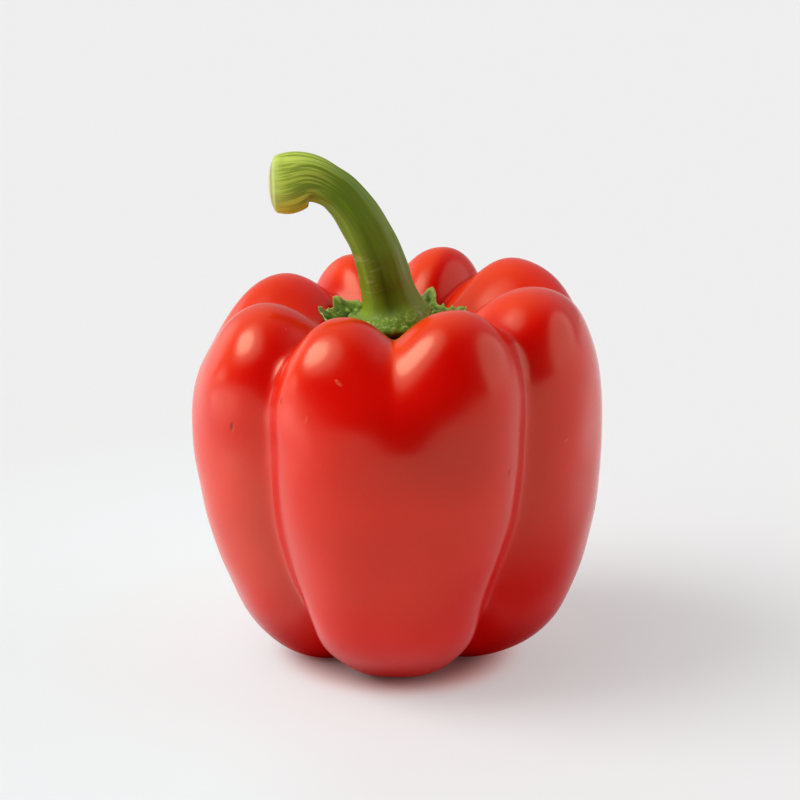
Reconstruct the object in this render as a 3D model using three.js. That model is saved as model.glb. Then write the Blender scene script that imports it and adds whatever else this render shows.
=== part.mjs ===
// A red bell pepper as picked: one blocky fruit with four lobes, the green calyx in the pit at its
// crown, and the cut stem that rises from the calyx and bends over to the left.
// Millimetres, +Z up. The front lobe faces -Y, and the tips of the lobes stand on z = 0.

import * as THREE from 'three';

const RAD = Math.PI / 180;

// ---- the fruit ------------------------------------------------------------------------------

const REST_FLAT = 0.8;        // how much the lobe tips are pressed flat where the fruit stands
const CROWN_TILT = 3.9;       // degrees: the right shoulder stands higher than the left one
const CROWN_START = 45;       // the tilt grows from this height ...
const CROWN_END = 80;         // ... to this one
const TOP_ROWS = [1.5, 4, 5, 7]; // crest stations between which a shoulder bump stands out
const HEEL_ROWS = [7, 10, 10, 12]; // the same for the low bulge of a lobe
const TOE_ROWS = [9.5, 11, 11.5, 13]; // and for the bulge at its tip

// A lobe's crest from the middle of the pit, over the shoulder, down the flank and under to the
// blossom end. groove is how deep the furrow between two lobes is there, dip how deep the furrow
// in the middle of a lobe is, and crown how far the lobe has split into its two shoulder bumps.
const CREST = [
  { r: 0.0, z: 71.4, groove: 0.0, dip: 0.0, crown: 1.0 },
  { r: 8.0, z: 71.6, groove: 0.3, dip: 0.0, crown: 1.0 },
  { r: 13.8, z: 73.1, groove: 1.5, dip: 0.8, crown: 1.0 },
  { r: 19.4, z: 78.2, groove: 4.6, dip: 3.4, crown: 1.0 },
  { r: 27.8, z: 81.7, groove: 7.2, dip: 5.4, crown: 1.0 },
  { r: 36.2, z: 78.2, groove: 6.8, dip: 4.2, crown: 1.0 },
  { r: 41.0, z: 68.5, groove: 6.2, dip: 1.9, crown: 0.75 },
  { r: 42.3, z: 56.0, groove: 6.2, dip: 0.0, crown: 0.2 },
  { r: 41.5, z: 41.0, groove: 6.4, dip: 0.0, crown: 0.0 },
  { r: 38.6, z: 26.0, groove: 7.6, dip: 0.0, crown: 0.0 },
  { r: 33.4, z: 12.5, groove: 9.6, dip: 0.0, crown: 0.0 },
  { r: 25.2, z: 3.6, groove: 9.5, dip: 0.0, crown: 0.0 },
  { r: 15.0, z: 0.0, groove: 6.5, dip: 0.0, crown: 0.0 },
  { r: 7.0, z: 3.0, groove: 2.0, dip: 0.0, crown: 0.0 },
  { r: 0.0, z: 5.5, groove: 0.0, dip: 0.0, crown: 0.0 },
];

// The lobes, in degrees from the front (-Y) towards +X: the furrow where a lobe starts, the dip in
// its middle and the furrow where it ends. heel and toe are how far the lobe swells low on its
// flank and at its tip, lifts how far its two shoulder bumps rise above the usual height, and
// seams the share of the usual depth that its two furrows have at the crown.
const LOBES = [
  { from: -45.5, middle: -1.5, to: 44.5, heel: -0.8, toe: -1.5, lifts: [0.4, 0.1], seams: [1, 0.75] },
  { from: 44.5, middle: 95, to: 145, heel: 1.9, toe: 0, lifts: [0.1, -0.8], seams: [0.75, 0.95] },
  { from: 145, middle: 180, to: 215, heel: 0, toe: 0, lifts: [0, 0], seams: [0.95, 0.9] },
  { from: 215, middle: 265, to: 314.5, heel: 0.3, toe: 0, lifts: [-0.7, -0.7], seams: [0.9, 1] },
];

// How softly a furrow's bottom is rounded, as a share of the half width beside it, and how broad
// the crest next to it is: a higher number makes the crest broader.
const DIP_SHAPE = { soft: 0.13, breadth: 2.2 };
const GROOVE_SHAPE = { soft: 0.13, breadth: 2.4 };
const FLANK_SHAPE = { soft: 0.07, breadth: 3.2 };

const BUMP_MIDDLE = 0.52;     // the top of a shoulder bump, as a share of the half lobe
const BUMP_COLUMNS = 8;       // facets across one shoulder bump
const FRUIT_ROWS = 44;        // facets from the pit to the blossom end

// ---- the calyx and the stem -------------------------------------------------------------------

const GAP = 0.3;              // clearance between neighbouring pieces
const STEM_AXIS_X = -1.1;     // the calyx and the foot of the stem stand a little left of the middle
const CALYX_TOP = 73.4;       // height of the flat middle that carries the stem
const CALYX_PLATEAU = 8.4;    // radius of that flat middle
const CALYX_SHELF = 12.2;     // radius where the middle has come down to the pit's wall
const CALYX_THICKNESS = 1.4;  // of the calyx outside the middle
const CALYX_EDGE = 0.6;       // thickness left at its rim
const CALYX_EDGE_BEND = 3;    // a higher number keeps it thick closer to the rim
const CALYX_WEB = 13.6;       // radius between two sepals
const FRONT_NOTCH = 3.6;      // how much shorter it is at the front
const FRONT_SPREAD = 40;      // half width of that notch, in degrees
const SEPAL_WIDTH = 19;       // half width of a sepal, in degrees
const SEPAL_POINT = 1.4;      // a higher number makes the sepals more pointed
const CALYX_COLUMNS = 60;
const CALYX_ROWS = 8;
const PIT_SEARCH_STEP = 0.001; // share of the crest, to find the pit's height at a radius

// The tips of the sepals: degrees from the front towards +X, and radius.
const SEPALS = [
  { angle: 58, reach: 14.8 },
  { angle: 104, reach: 15.8 },
  { angle: 149, reach: 16.9 },
  { angle: 188, reach: 15.8 },
  { angle: 228, reach: 15.6 },
  { angle: 260, reach: 15.4 },
  { angle: 300, reach: 14.4 },
];

// The middle line of the stem in the XZ plane, and its width there, from its foot to its cut end.
const STEM = [
  { x: -0.9, z: 73.7, width: 16.6 },
  { x: -0.9, z: 74.9, width: 15.0 },
  { x: -1.2, z: 76.5, width: 12.4 },
  { x: -1.8, z: 79.0, width: 10.8 },
  { x: -2.7, z: 82.6, width: 10.2 },
  { x: -4.1, z: 87.2, width: 9.8 },
  { x: -7.0, z: 92.8, width: 9.0 },
  { x: -11.0, z: 98.0, width: 8.2 },
  { x: -14.4, z: 101.0, width: 8.3 },
  { x: -18.0, z: 102.3, width: 10.7 },
  { x: -21.8, z: 102.0, width: 12.2 },
  { x: -25.2, z: 101.5, width: 11.4 },
];

const STEM_RIBS = 5;          // ridges along the stem
const RIB_DEPTH = 0.05;       // their height, as a share of the stem's radius
const CUT_CHAMFER = 0.6;      // the cut end's rounded edge
const STEM_LENGTH = 44;       // along its middle line
const STEM_SIDES = 20;
const STEM_STEPS = 34;

// ---- shared geometry --------------------------------------------------------------------------

function smoothStep(low, high, value) {
  return THREE.MathUtils.smoothstep(value, low, high);
}

// A closed skin between two poles. pointAt(row, column) gives the rings from the first pole to the
// second one, with the columns anticlockwise as seen from the first pole.
function closedSkin(firstPole, lastPole, rings, columns, pointAt) {
  const positions = [...firstPole.toArray()];
  for (let row = 0; row < rings; row += 1) {
    for (let column = 0; column < columns; column += 1) {
      positions.push(...pointAt(row, column).toArray());
    }
  }
  positions.push(...lastPole.toArray());

  const last = rings * columns + 1;
  const vertex = (row, column) => 1 + row * columns + (column % columns);
  const faces = [];
  for (let column = 0; column < columns; column += 1) {
    faces.push(0, vertex(0, column), vertex(0, column + 1));
    for (let row = 0; row < rings - 1; row += 1) {
      const a = vertex(row, column);
      const b = vertex(row + 1, column);
      const c = vertex(row + 1, column + 1);
      const d = vertex(row, column + 1);
      faces.push(a, b, c, a, c, d);
    }
    faces.push(vertex(rings - 1, column), last, vertex(rings - 1, column + 1));
  }

  const geometry = new THREE.BufferGeometry();
  geometry.setAttribute('position', new THREE.Float32BufferAttribute(positions, 3));
  geometry.setIndex(faces);
  geometry.computeVertexNormals();
  return geometry;
}

// The point at an angle from the front towards +X.
function polar(radius, degrees, z) {
  return new THREE.Vector3(radius * Math.sin(degrees * RAD), -radius * Math.cos(degrees * RAD), z);
}

// ---- the fruit's skin -------------------------------------------------------------------------

const crestLine = new THREE.CatmullRomCurve3(
  CREST.map(({ r, z }) => new THREE.Vector3(r, 0, z)), false, 'catmullrom', 0.5);
const crestDepths = new THREE.CatmullRomCurve3(
  CREST.map(({ groove, dip, crown }) => new THREE.Vector3(groove, dip, crown)),
  false, 'catmullrom', 0.5);

// How far the skin has sunk, from 0 on a crest to 1 at the bottom of a furrow.
function sink(across, { soft, breadth }) {
  const rise = Math.hypot(1 - Math.abs(across), soft) - soft;
  return (1 - rise / (Math.hypot(1, soft) - soft)) ** breadth;
}

// A share that rises to 1 between the first two stations and falls back between the last two.
function between([start, full, fading, end], station) {
  return smoothStep(start, full, station) * (1 - smoothStep(fading, end, station));
}

// Everything above CROWN_START leans up towards +X.
function tiltCrown(point) {
  point.z += point.x * Math.tan(CROWN_TILT * RAD) * smoothStep(CROWN_START, CROWN_END, point.z);
  return point;
}

// A point of the skin: the lobe, the place across it from -1 to 1, and the place along the crest
// from 0 in the pit to 1 at the blossom end.
function skinPoint(lobe, across, along) {
  const crest = crestLine.getPoint(along);
  const depths = crestDepths.getPoint(along);
  const groove = Math.max(depths.x, 0);
  const dip = Math.max(depths.y, 0);
  const crown = THREE.MathUtils.clamp(depths.z, 0, 1);

  const side = Math.abs(across);
  const onBump = side < BUMP_MIDDLE
    ? (side - BUMP_MIDDLE) / BUMP_MIDDLE
    : (side - BUMP_MIDDLE) / (1 - BUMP_MIDDLE);
  const half = across < 0 ? 0 : 1;
  const bumps = onBump < 0
    ? dip * sink(onBump, DIP_SHAPE)
    : groove * lobe.seams[half] * sink(onBump, GROOVE_SHAPE);
  const flank = groove * sink(across, FLANK_SHAPE);

  const station = along * (CREST.length - 1);
  const swelling = lobe.heel * between(HEEL_ROWS, station) + lobe.toe * between(TOE_ROWS, station);
  const lift = lobe.lifts[half] * between(TOP_ROWS, station);
  const depth = crown * bumps + (1 - crown) * flank
    - swelling * (1 - across * across) - lift * (1 - onBump * onBump);

  const tangent = crestLine.getTangent(along);
  const radius = crest.x + tangent.z * depth;
  const height = crest.z - tangent.x * depth;
  const width = across < 0 ? lobe.middle - lobe.from : lobe.to - lobe.middle;
  const point = tiltCrown(polar(radius, lobe.middle + across * width, height));
  point.z = Math.max(point.z - REST_FLAT, 0);
  return point;
}

function fruitGeometry() {
  const lobeColumns = 2 * BUMP_COLUMNS;
  const [pitEnd, blossomEnd] = [CREST[0], CREST[CREST.length - 1]];
  return closedSkin(
    new THREE.Vector3(0, 0, pitEnd.z - REST_FLAT),
    new THREE.Vector3(0, 0, blossomEnd.z - REST_FLAT),
    FRUIT_ROWS - 1,
    LOBES.length * lobeColumns,
    (row, column) => {
      const across = (column % lobeColumns) / BUMP_COLUMNS - 1;
      return skinPoint(LOBES[Math.floor(column / lobeColumns)], across, (row + 1) / FRUIT_ROWS);
    });
}

// ---- the calyx --------------------------------------------------------------------------------

// Height of the pit's wall above a point of the calyx, measured on the crest line.
function pitHeight(x, y) {
  const radius = Math.hypot(x, y);
  let along = 0;
  while (crestLine.getPoint(along).x < radius) {
    along += PIT_SEARCH_STEP;
  }
  const point = tiltCrown(new THREE.Vector3(x, y, crestLine.getPoint(along).z));
  return point.z - REST_FLAT;
}

// How many degrees lie between two directions, from 0 to 180.
function turnBetween(degrees, angle) {
  return Math.abs(THREE.MathUtils.euclideanModulo(degrees - angle + 180, 360) - 180);
}

// Outer radius of the calyx at an angle: a web between the sepals, and a pointed sepal at each tip.
function calyxRadius(degrees) {
  const web = CALYX_WEB - FRONT_NOTCH * Math.exp(-((turnBetween(degrees, 0) / FRONT_SPREAD) ** 2));
  const reaches = SEPALS.map(({ angle, reach }) => {
    const point = Math.max(1 - turnBetween(degrees, angle) / SEPAL_WIDTH, 0);
    return (reach - web) * point ** SEPAL_POINT;
  });
  return web + Math.max(...reaches);
}

function calyxPoint(degrees, share, top) {
  const fromAxis = calyxRadius(degrees) * share;
  const flat = polar(fromAxis, degrees, 0);
  flat.x += STEM_AXIS_X;
  const underside = pitHeight(flat.x, flat.y) + GAP;
  const thickness = THREE.MathUtils.lerp(CALYX_THICKNESS, CALYX_EDGE, share ** CALYX_EDGE_BEND);
  const rise = 1 - smoothStep(CALYX_PLATEAU, CALYX_SHELF, fromAxis);
  const upper = Math.max(underside + thickness, THREE.MathUtils.lerp(underside, CALYX_TOP, rise));
  flat.z = top ? upper : underside;
  return flat;
}

function calyxGeometry() {
  const rings = 2 * CALYX_ROWS;
  return closedSkin(
    new THREE.Vector3(STEM_AXIS_X, 0, CALYX_TOP),
    new THREE.Vector3(STEM_AXIS_X, 0, pitHeight(STEM_AXIS_X, 0) + GAP),
    rings,
    CALYX_COLUMNS,
    (row, column) => {
      const top = row < CALYX_ROWS;
      const share = (top ? row + 1 : rings - row) / CALYX_ROWS;
      return calyxPoint((column * 360) / CALYX_COLUMNS, share, top);
    });
}

// ---- the stem ---------------------------------------------------------------------------------

const stemLine = new THREE.CatmullRomCurve3(
  STEM.map(({ x, z }) => new THREE.Vector3(x, 0, z)), false, 'catmullrom', 0.5);
const stemWidths = new THREE.CatmullRomCurve3(
  STEM.map(({ width }, index) => new THREE.Vector3(index, width, 0)), false, 'catmullrom', 0.5);

// A point on the stem's ribbed ring at a place along it, from 0 at its foot to 1 at its cut end.
function stemPoint(along, turn, shrink) {
  const centre = stemLine.getPoint(along);
  const tangent = along === 0 ? new THREE.Vector3(0, 0, 1) : stemLine.getTangent(along);
  const side = new THREE.Vector3(tangent.z, 0, -tangent.x);
  const front = new THREE.Vector3(0, -1, 0);
  const ribs = 1 + RIB_DEPTH * Math.cos(STEM_RIBS * turn);
  const radius = (stemWidths.getPoint(along).y / 2) * ribs - shrink;
  return centre
    .addScaledVector(side, radius * Math.sin(turn))
    .addScaledVector(front, radius * Math.cos(turn));
}

function stemGeometry() {
  const [foot, cut] = [STEM[0], STEM[STEM.length - 1]];
  const chamferShare = 1 - CUT_CHAMFER / STEM_LENGTH;
  return closedSkin(
    new THREE.Vector3(cut.x, 0, cut.z),
    new THREE.Vector3(foot.x, 0, foot.z),
    STEM_STEPS + 1,
    STEM_SIDES,
    (row, column) => {
      const turn = (column * 2 * Math.PI) / STEM_SIDES;
      if (row === 0) {
        return stemPoint(1, turn, CUT_CHAMFER);
      }
      return stemPoint((chamferShare * (STEM_STEPS - row)) / (STEM_STEPS - 1), turn, 0);
    });
}

// ---- the pepper -------------------------------------------------------------------------------

function piece(name, geometry, color, roughness) {
  const mesh = new THREE.Mesh(
    geometry, new THREE.MeshStandardMaterial({ color, roughness, metalness: 0 }));
  mesh.name = name;
  return mesh;
}

const pepper = new THREE.Group();
pepper.add(piece('fruit', fruitGeometry(), 0xc4200f, 0.22));
pepper.add(piece('calyx', calyxGeometry(), 0x3f7028, 0.6));
pepper.add(piece('stem', stemGeometry(), 0x5c7f24, 0.5));

// The origin is under the middle of the whole pepper.
const middle = new THREE.Box3().setFromObject(pepper, true).getCenter(new THREE.Vector3());
pepper.position.set(-middle.x, -middle.y, 0);

export default pepper;
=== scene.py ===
"""A red bell pepper as picked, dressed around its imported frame.

The fruit, the calyx and the stem are fine meshes made in the places that the frame gives. They
stand on a pale studio table under soft light. Sizes are in millimetres unless a name says
otherwise, +Z is up, and angles round the pepper run in degrees from the front (-Y) towards +X.
"""

import logging
import math
from collections.abc import Sequence
from dataclasses import dataclass, field
from enum import Enum

import bpy
import numpy as np
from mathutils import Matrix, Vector


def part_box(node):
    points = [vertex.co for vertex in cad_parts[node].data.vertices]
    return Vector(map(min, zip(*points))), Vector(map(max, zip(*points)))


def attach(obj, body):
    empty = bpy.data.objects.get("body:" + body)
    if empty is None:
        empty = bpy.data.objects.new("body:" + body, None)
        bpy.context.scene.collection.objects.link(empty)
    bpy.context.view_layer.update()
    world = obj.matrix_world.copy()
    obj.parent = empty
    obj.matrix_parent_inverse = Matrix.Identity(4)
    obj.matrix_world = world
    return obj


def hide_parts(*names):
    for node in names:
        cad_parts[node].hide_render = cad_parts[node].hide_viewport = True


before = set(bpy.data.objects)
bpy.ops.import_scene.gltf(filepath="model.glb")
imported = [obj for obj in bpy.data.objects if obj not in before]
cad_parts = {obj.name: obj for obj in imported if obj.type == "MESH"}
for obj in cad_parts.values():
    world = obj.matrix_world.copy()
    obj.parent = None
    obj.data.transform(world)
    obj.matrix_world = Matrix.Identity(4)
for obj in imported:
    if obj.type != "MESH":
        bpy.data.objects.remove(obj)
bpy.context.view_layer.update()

MM = 0.001
BODY = "root"

Colour = tuple[float, float, float]
Feed = float | Sequence[float] | bpy.types.NodeSocket

log = logging.getLogger("bell_pepper")


# ---- curves and waves ---------------------------------------------------------------------------


def ease(low: float, high: float, value: np.ndarray) -> np.ndarray:
    """Rises smoothly from 0 at low to 1 at high."""
    share = np.clip((value - low) / (high - low), 0.0, 1.0)
    return share * share * (3.0 - 2.0 * share)


def hill(values: np.ndarray, middle: float, width: float) -> np.ndarray:
    """A soft hill of height 1 at the middle."""
    return np.exp(-(((values - middle) / width) ** 2))


def turn_away(angles: np.ndarray, middle: float) -> np.ndarray:
    """How far angles lie from a middle one, in degrees from -180 to 180."""
    return (angles - middle + 180.0) % 360.0 - 180.0


def between(rows: Sequence[float], places: np.ndarray) -> np.ndarray:
    """Rises to 1 between the first two rows and falls back to 0 between the last two."""
    start, full, fading, end = rows
    return ease(start, full, places) * (1.0 - ease(fading, end, places))


class Ends(Enum):
    """What a curve does past its first and last station."""

    EVEN = 1.0
    ODD = -1.0
    FREE = 0.0


class Spline:
    """A curve of even curvature through values at the stations 0, 1, 2 and so on."""

    PAD = 2

    def __init__(self, values: Sequence[float], ends: Ends = Ends.FREE) -> None:
        """Solves the curve.

        Args:
            values: The value at each station.
            ends: Whether the curve is mirrored at its ends, turned over there, or left free.
        """
        knots = np.asarray(values, float)
        self.pad = 0 if ends is Ends.FREE else self.PAD
        if self.pad:
            before = ends.value * knots[self.pad : 0 : -1]
            after = ends.value * knots[-2 : -2 - self.pad : -1]
            knots = np.concatenate([before, knots, after])
        self.knots = knots
        count = len(knots)
        system = np.eye(count)
        load = np.zeros(count)
        for row in range(1, count - 1):
            system[row, row - 1 : row + 2] = (1.0, 4.0, 1.0)
            load[row] = 6.0 * (knots[row - 1] - 2.0 * knots[row] + knots[row + 1])
        self.bends = np.linalg.solve(system, load)

    def _locate(self, places: np.ndarray) -> tuple[np.ndarray, np.ndarray]:
        """Finds the stations around each place.

        Args:
            places: Places along the curve.

        Returns:
            The station before each place, and the share of the way to the next one.
        """
        shifted = np.asarray(places, float) + self.pad
        before = np.clip(np.floor(shifted).astype(int), 0, len(self.knots) - 2)
        return before, shifted - before

    def at(self, places: np.ndarray) -> np.ndarray:
        """Reads the curve.

        Args:
            places: Places along it.

        Returns:
            Its value there.
        """
        i, s = self._locate(places)
        r = 1.0 - s
        straight = r * self.knots[i] + s * self.knots[i + 1]
        bent = (r**3 - r) * self.bends[i] + (s**3 - s) * self.bends[i + 1]
        return straight + bent / 6.0

    def slope(self, places: np.ndarray) -> np.ndarray:
        """Reads the curve's slope.

        Args:
            places: Places along it.

        Returns:
            How fast it rises there, for each station.
        """
        i, s = self._locate(places)
        r = 1.0 - s
        bent = (1.0 - 3.0 * r**2) * self.bends[i] + (3.0 * s**2 - 1.0) * self.bends[i + 1]
        return self.knots[i + 1] - self.knots[i] + bent / 6.0


class Waves:
    """Slow, seeded waves through space, for the unevenness of a grown surface."""

    def __init__(self, seed: int, length: float, count: int = 14) -> None:
        """Draws the waves.

        Args:
            seed: Which waves they are.
            length: The usual length of one wave.
            count: How many waves are added up.
        """
        draw = np.random.default_rng(seed)
        ways = draw.normal(size=(count, 3))
        ways /= np.linalg.norm(ways, axis=1, keepdims=True)
        self.ways = ways * (2.0 * math.pi / (length * draw.uniform(0.7, 1.5, (count, 1))))
        self.starts = draw.uniform(0.0, 2.0 * math.pi, count)

    def at(self, points: np.ndarray) -> np.ndarray:
        """The height of the waves at points, mostly between -1 and 1."""
        return np.sin(points @ self.ways.T + self.starts).sum(-1) / math.sqrt(len(self.starts))


def polar(radius: np.ndarray, angle: np.ndarray, height: np.ndarray) -> np.ndarray:
    """Places points round the Z axis.

    Args:
        radius: How far they are from the axis.
        angle: Degrees from the front towards +X.
        height: How high they are.

    Returns:
        The points, with X, Y and Z last.
    """
    turn = np.radians(angle)
    parts = np.broadcast_arrays(radius * np.sin(turn), -radius * np.cos(turn), height)
    return np.stack(parts, axis=-1)


# ---- meshes -------------------------------------------------------------------------------------


def closed_skin(
    name: str, first: np.ndarray, rings: np.ndarray, last: np.ndarray, **paints: np.ndarray
) -> bpy.types.Object:
    """Makes a closed, smooth mesh from rings of points between two poles.

    Args:
        name: The piece's name.
        first: The point that closes the first ring.
        rings: Points as (ring, column, 3), anticlockwise as seen from the first pole.
        last: The point that closes the last ring.
        **paints: One number, or one vector, for each point of the rings, kept as an attribute.

    Returns:
        The new object, in the scene.
    """
    count, columns = rings.shape[:2]
    points = np.concatenate([first[None, :], rings.reshape(-1, 3), last[None, :]]) * MM
    grid = 1 + np.arange(count * columns).reshape(count, columns)
    beside = np.roll(grid, -1, axis=1)
    quads = np.stack([grid[:-1], grid[1:], beside[1:], beside[:-1]], axis=-1).reshape(-1, 4)
    end = len(points) - 1
    faces = quads.tolist()
    faces += [(0, int(a), int(b)) for a, b in zip(grid[0], beside[0])]
    faces += [(int(a), end, int(b)) for a, b in zip(grid[-1], beside[-1])]

    mesh = bpy.data.meshes.new(name)
    mesh.from_pydata(points.tolist(), [], faces)
    for label, values in paints.items():
        flat = values.reshape(count * columns, -1)
        whole = np.concatenate([flat[:columns].mean(0)[None], flat, flat[-columns:].mean(0)[None]])
        kind, part = ("FLOAT", "value") if whole.shape[1] == 1 else ("FLOAT_VECTOR", "vector")
        layer = mesh.attributes.new(label, kind, "POINT")
        layer.data.foreach_set(part, whole.astype(np.float32).ravel())
    mesh.polygons.foreach_set("use_smooth", [True] * len(mesh.polygons))
    mesh.validate()
    mesh.update()
    piece = bpy.data.objects.new(name, mesh)
    bpy.context.scene.collection.objects.link(piece)
    return piece


# ---- node materials -----------------------------------------------------------------------------


class Nodes:
    """Adds shader nodes to a tree and links them."""

    def __init__(self, tree: bpy.types.NodeTree) -> None:
        """Empties the tree."""
        self.tree = tree
        self.tree.nodes.clear()

    def node(self, kind: str, feeds: dict[str | int, Feed], **settings: object) -> bpy.types.Node:
        """Adds a node.

        Args:
            kind: The node's type name after "ShaderNode".
            feeds: What goes into its sockets, by name or number.
            **settings: Its own properties.

        Returns:
            The new node.
        """
        made = self.tree.nodes.new("ShaderNode" + kind)
        for key, value in settings.items():
            setattr(made, key, value)
        for key, value in feeds.items():
            self.feed(made.inputs[key], value)
        return made

    def feed(self, socket: bpy.types.NodeSocket, value: Feed) -> None:
        """Links a socket to another one, or sets its value.

        Args:
            socket: The socket.
            value: The other socket, a number, a vector, or a colour with or without its alpha.
        """
        if isinstance(value, bpy.types.NodeSocket):
            self.tree.links.new(value, socket)
        elif isinstance(value, (int, float)):
            socket.default_value = float(value)
        else:
            padded = tuple(value)
            if len(padded) == 3 and len(socket.default_value) == 4:
                padded += (1.0,)
            socket.default_value = padded

    def maths(self, operation: str, *values: Feed) -> bpy.types.NodeSocket:
        """One step of arithmetic."""
        return self.node("Math", dict(enumerate(values)), operation=operation).outputs[0]

    def remap(
        self, value: Feed, low: float, high: float, start: float = 0.0, end: float = 1.0
    ) -> bpy.types.NodeSocket:
        """Moves a number smoothly from the range low..high to start..end, and keeps it there."""
        feeds = {0: value, 1: low, 2: high, 3: start, 4: end}
        return self.node("MapRange", feeds, interpolation_type="SMOOTHSTEP").outputs[0]


class Finish(Nodes):
    """Builds one node material around a principled shader."""

    def __init__(self, name: str) -> None:
        """Starts the material with its shader and its output.

        Args:
            name: The material's name.
        """
        self.material = bpy.data.materials.new(name)
        self.material.use_nodes = True
        super().__init__(self.material.node_tree)
        self.shader = self.node("BsdfPrincipled", {})
        self.node("OutputMaterial", {"Surface": self.shader.outputs[0]})

    def set(self, **values: Feed) -> None:
        """Feeds the shader's own sockets; an underscore in a name stands for a space."""
        for key, value in values.items():
            self.feed(self.shader.inputs[key.replace("_", " ")], value)

    def place(self) -> bpy.types.NodeSocket:
        """The point on the piece, in metres from the frame's origin."""
        return self.node("TexCoord", {}).outputs["Object"]

    def paint(self, name: str, vector: bool = False) -> bpy.types.NodeSocket:
        """One of the mesh's own attributes, as a number or a vector."""
        made = self.node("Attribute", {}, attribute_name=name)
        return made.outputs["Vector" if vector else "Fac"]

    def times(self, first: Feed, second: Feed) -> bpy.types.NodeSocket:
        """The product of two numbers."""
        return self.maths("MULTIPLY", first, second)

    def spare(self, mask: Feed, loss: float) -> bpy.types.NodeSocket:
        """1 where a mask is 0, and 1 less the loss where it is 1."""
        return self.maths("MULTIPLY_ADD", mask, -loss, 1.0)

    def noise(
        self, vector: Feed, scale: float, detail: float = 2.0, rough: float = 0.5
    ) -> bpy.types.NodeSocket:
        """Soft noise from 0 to 1, at that many cells a unit."""
        feeds = {"Vector": vector, "Scale": scale, "Detail": detail, "Roughness": rough}
        return self.node("TexNoise", feeds).outputs["Fac"]

    def cells(self, vector: Feed, scale: float) -> bpy.types.NodeSocket:
        """The distance from the nearest of many scattered dots, at that many cells a unit."""
        return self.node("TexVoronoi", {"Vector": vector, "Scale": scale}).outputs["Distance"]

    def stretch(self, vector: Feed, scale: Sequence[float]) -> bpy.types.NodeSocket:
        """Multiplies a vector along each axis."""
        return self.node("VectorMath", {0: vector, 1: scale}, operation="MULTIPLY").outputs[0]

    def mix(self, share: Feed, first: Feed, second: Feed) -> bpy.types.NodeSocket:
        """Goes from the first colour to the second one."""
        made = self.node("Mix", {0: share, 6: first, 7: second}, data_type="RGBA")
        return made.outputs[2]

    def split(self, vector: Feed) -> list[bpy.types.NodeSocket]:
        """The X, Y and Z parts of a vector."""
        return list(self.node("SeparateXYZ", {0: vector}).outputs)

    def zone(
        self, place: Feed, edges: Sequence[float], start: float = 0.0, end: float = 1.0
    ) -> bpy.types.NodeSocket:
        """Goes smoothly from start to end between two places, which are in millimetres."""
        first, last = edges
        return self.remap(place, first * MM, last * MM, start, end)

    def hump(self, value: Feed, middle: float, width: float) -> bpy.types.NodeSocket:
        """A soft hump of height 1 where a number is near the middle."""
        rising = self.remap(value, middle - width, middle)
        return self.times(rising, self.remap(value, middle, middle + width, 1.0, 0.0))

    def length(self, vector: Feed) -> bpy.types.NodeSocket:
        """The length of a vector."""
        return self.node("VectorMath", {0: vector}, operation="LENGTH").outputs["Value"]

    def bump(self, height: Feed, depth: float, normal: Feed | None = None) -> bpy.types.NodeSocket:
        """Raises the surface.

        Args:
            height: Where it is raised, from 0 to 1.
            depth: By how much, in millimetres.
            normal: The relief that it lies on, if any.

        Returns:
            The new normal.
        """
        feeds: dict[str | int, Feed] = {"Height": height, "Distance": depth * MM, "Strength": 1.0}
        if normal is not None:
            feeds["Normal"] = normal
        return self.node("Bump", feeds).outputs[0]


# ---- the fruit ----------------------------------------------------------------------------------


@dataclass(frozen=True)
class Station:
    """A point of a lobe's crest, from the pit over the shoulder and down to the blossom end."""

    r: float
    z: float
    groove: float
    dip: float
    crown: float


@dataclass(frozen=True)
class Furrow:
    """The section of a furrow: how softly its bottom is rounded and how broad the crest is."""

    soft: float
    breadth: float

    def sunk(self, across: np.ndarray, broader: float | np.ndarray = 0.0) -> np.ndarray:
        """Finds how far the skin has sunk.

        Args:
            across: The place across it, from -1 or 1 at the bottom to 0 on the crest.
            broader: How much broader the crest is than usual.

        Returns:
            0 on the crest and 1 at the bottom.
        """
        rise = np.hypot(1.0 - np.abs(across), self.soft) - self.soft
        share = 1.0 - rise / (math.hypot(1.0, self.soft) - self.soft)
        return np.clip(share, 0.0, 1.0) ** (self.breadth + broader)


@dataclass(frozen=True)
class Lobe:
    """One lobe: its two furrows, the dip in its middle, and how it swells.

    heel is the bulge low on its flank, toe the bulge at its tip, lifts are how much its two
    shoulder bumps rise above the usual height, and seams how deep its two furrows are at the crown.
    """

    start: float
    middle: float
    end: float
    heel: float
    toe: float
    lifts: tuple[float, float]
    seams: tuple[float, float]


@dataclass(frozen=True)
class Columns:
    """The skin's columns: where each one stands and how its lobe swells there.

    across runs from -1 at the lobe's first furrow to 1 at its other one, with 0 in its middle.
    on_bump runs from -1 in the lobe's middle to 1 at the furrow, with 0 on the shoulder bump.
    """

    across: np.ndarray
    on_bump: np.ndarray
    angle: np.ndarray
    heel: np.ndarray
    toe: np.ndarray
    lift: np.ndarray
    seam: np.ndarray


class MarkKind(Enum):
    """What a mark on the skin is, as (colour, how dark, depth in millimetres)."""

    SCRATCH = ((0.30, 0.006, 0.003), 0.75, -0.08)
    NICK = ((0.95, 0.14, 0.05), 0.40, 0.10)
    SPECK = ((0.92, 0.08, 0.03), 0.35, 0.06)


@dataclass(frozen=True)
class Mark:
    """A small healed mark on the skin: where it is, how long and wide, and its lean in degrees."""

    kind: MarkKind
    angle: float
    height: float
    length: float
    width: float
    lean: float = 0.0


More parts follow.
